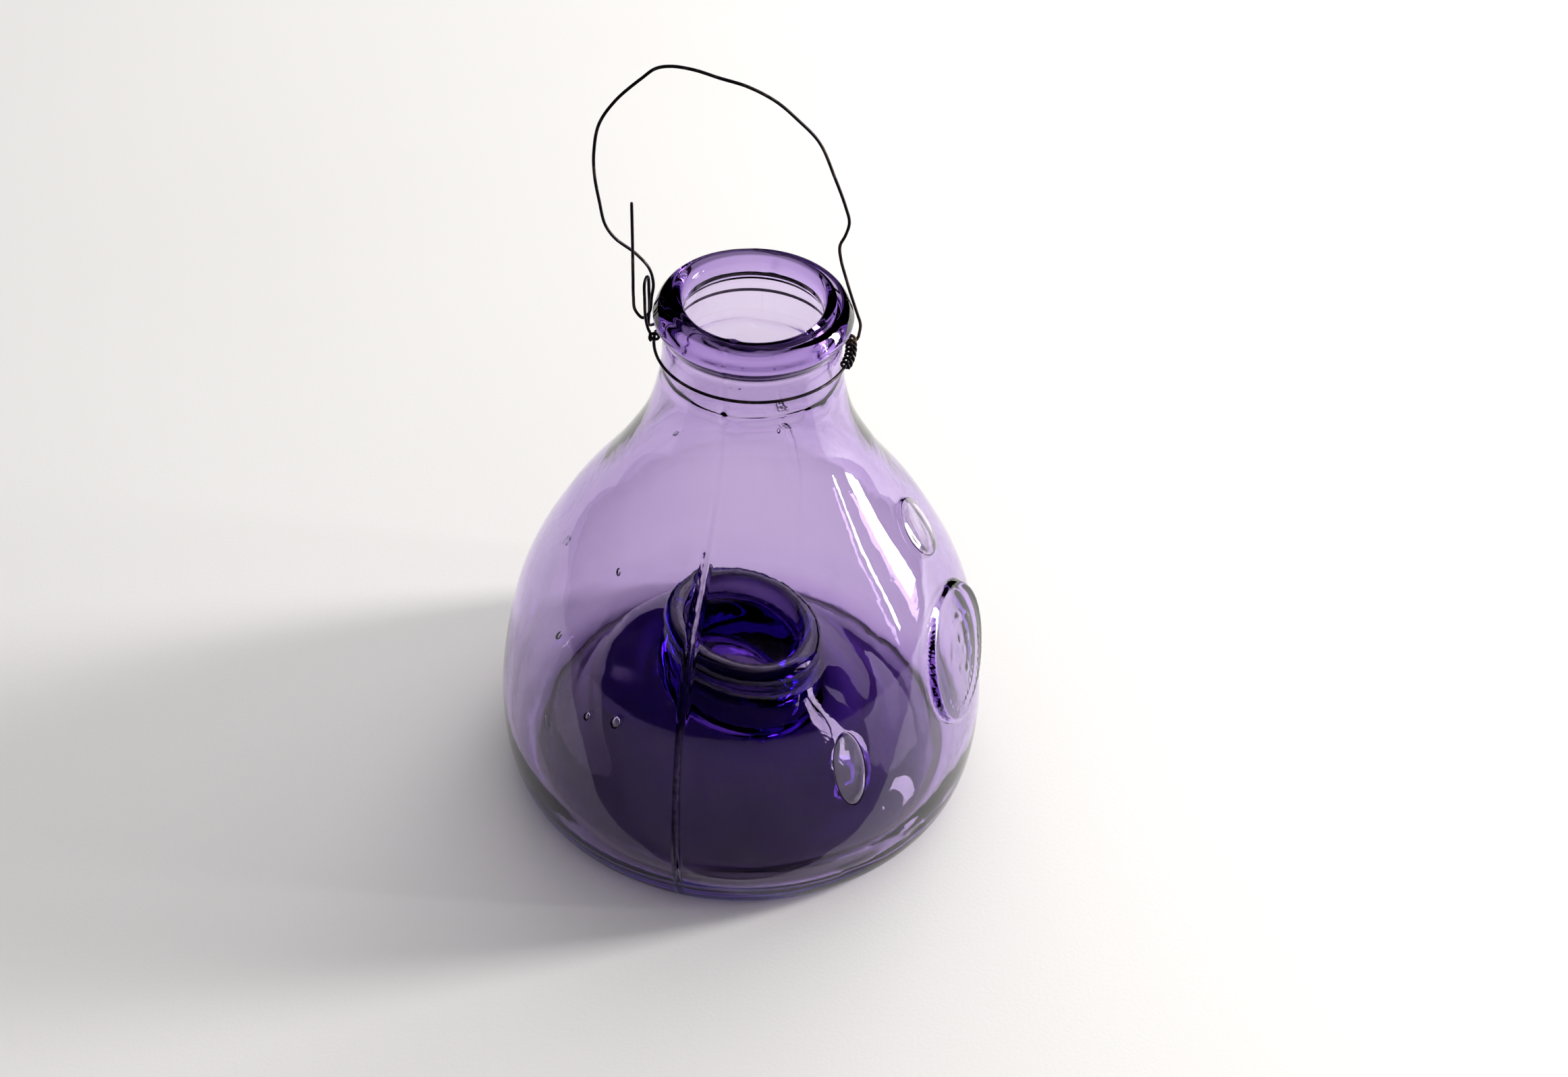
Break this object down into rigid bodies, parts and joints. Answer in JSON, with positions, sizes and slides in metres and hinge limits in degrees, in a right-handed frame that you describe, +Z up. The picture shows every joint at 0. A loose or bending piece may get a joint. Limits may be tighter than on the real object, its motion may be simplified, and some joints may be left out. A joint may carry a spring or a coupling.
{
  "type": "glass fly trap bottle",
  "caption": "Pear-shaped glass trap bottle with a collared open mouth, an open chimney rising from its hollow base, a neck wire and a wire bail.",
  "frame": {"origin": "on the surface the bottle stands on, at the bottle's axis", "axes": "+Z up the bottle's axis, X along the bail's plane with the hook at -X and the coil at +X"},
  "size_m": [0.15, 0.15, 0.2387],
  "materials": {
    "amethyst_glass": "clear amethyst glass, hand-worked and slightly uneven, deep indigo where it is thick",
    "dark_wire": "dark annealed iron wire, dull with age"
  },
  "bodies": {
    "bottle": {"glass_bottle": "amethyst_glass"},
    "neck_ring": {"neck_wire": "dark_wire"},
    "bail": {"bail_wire": "dark_wire"}
  },
  "joints": [
    {"name": "neck_ring_turn", "type": "hinge", "parent": "bottle", "child": "neck_ring", "pos_m": [0, 0, 0.156], "axis": [0, 0, 1], "continuous": true},
    {"name": "bail_lift", "type": "hinge", "parent": "neck_ring", "child": "bail", "pos_m": [0.02704, -0.00296, 0.156], "axis": [0.1089, 0.9941, 0], "range_deg": [0, 8.5]}
  ]
}
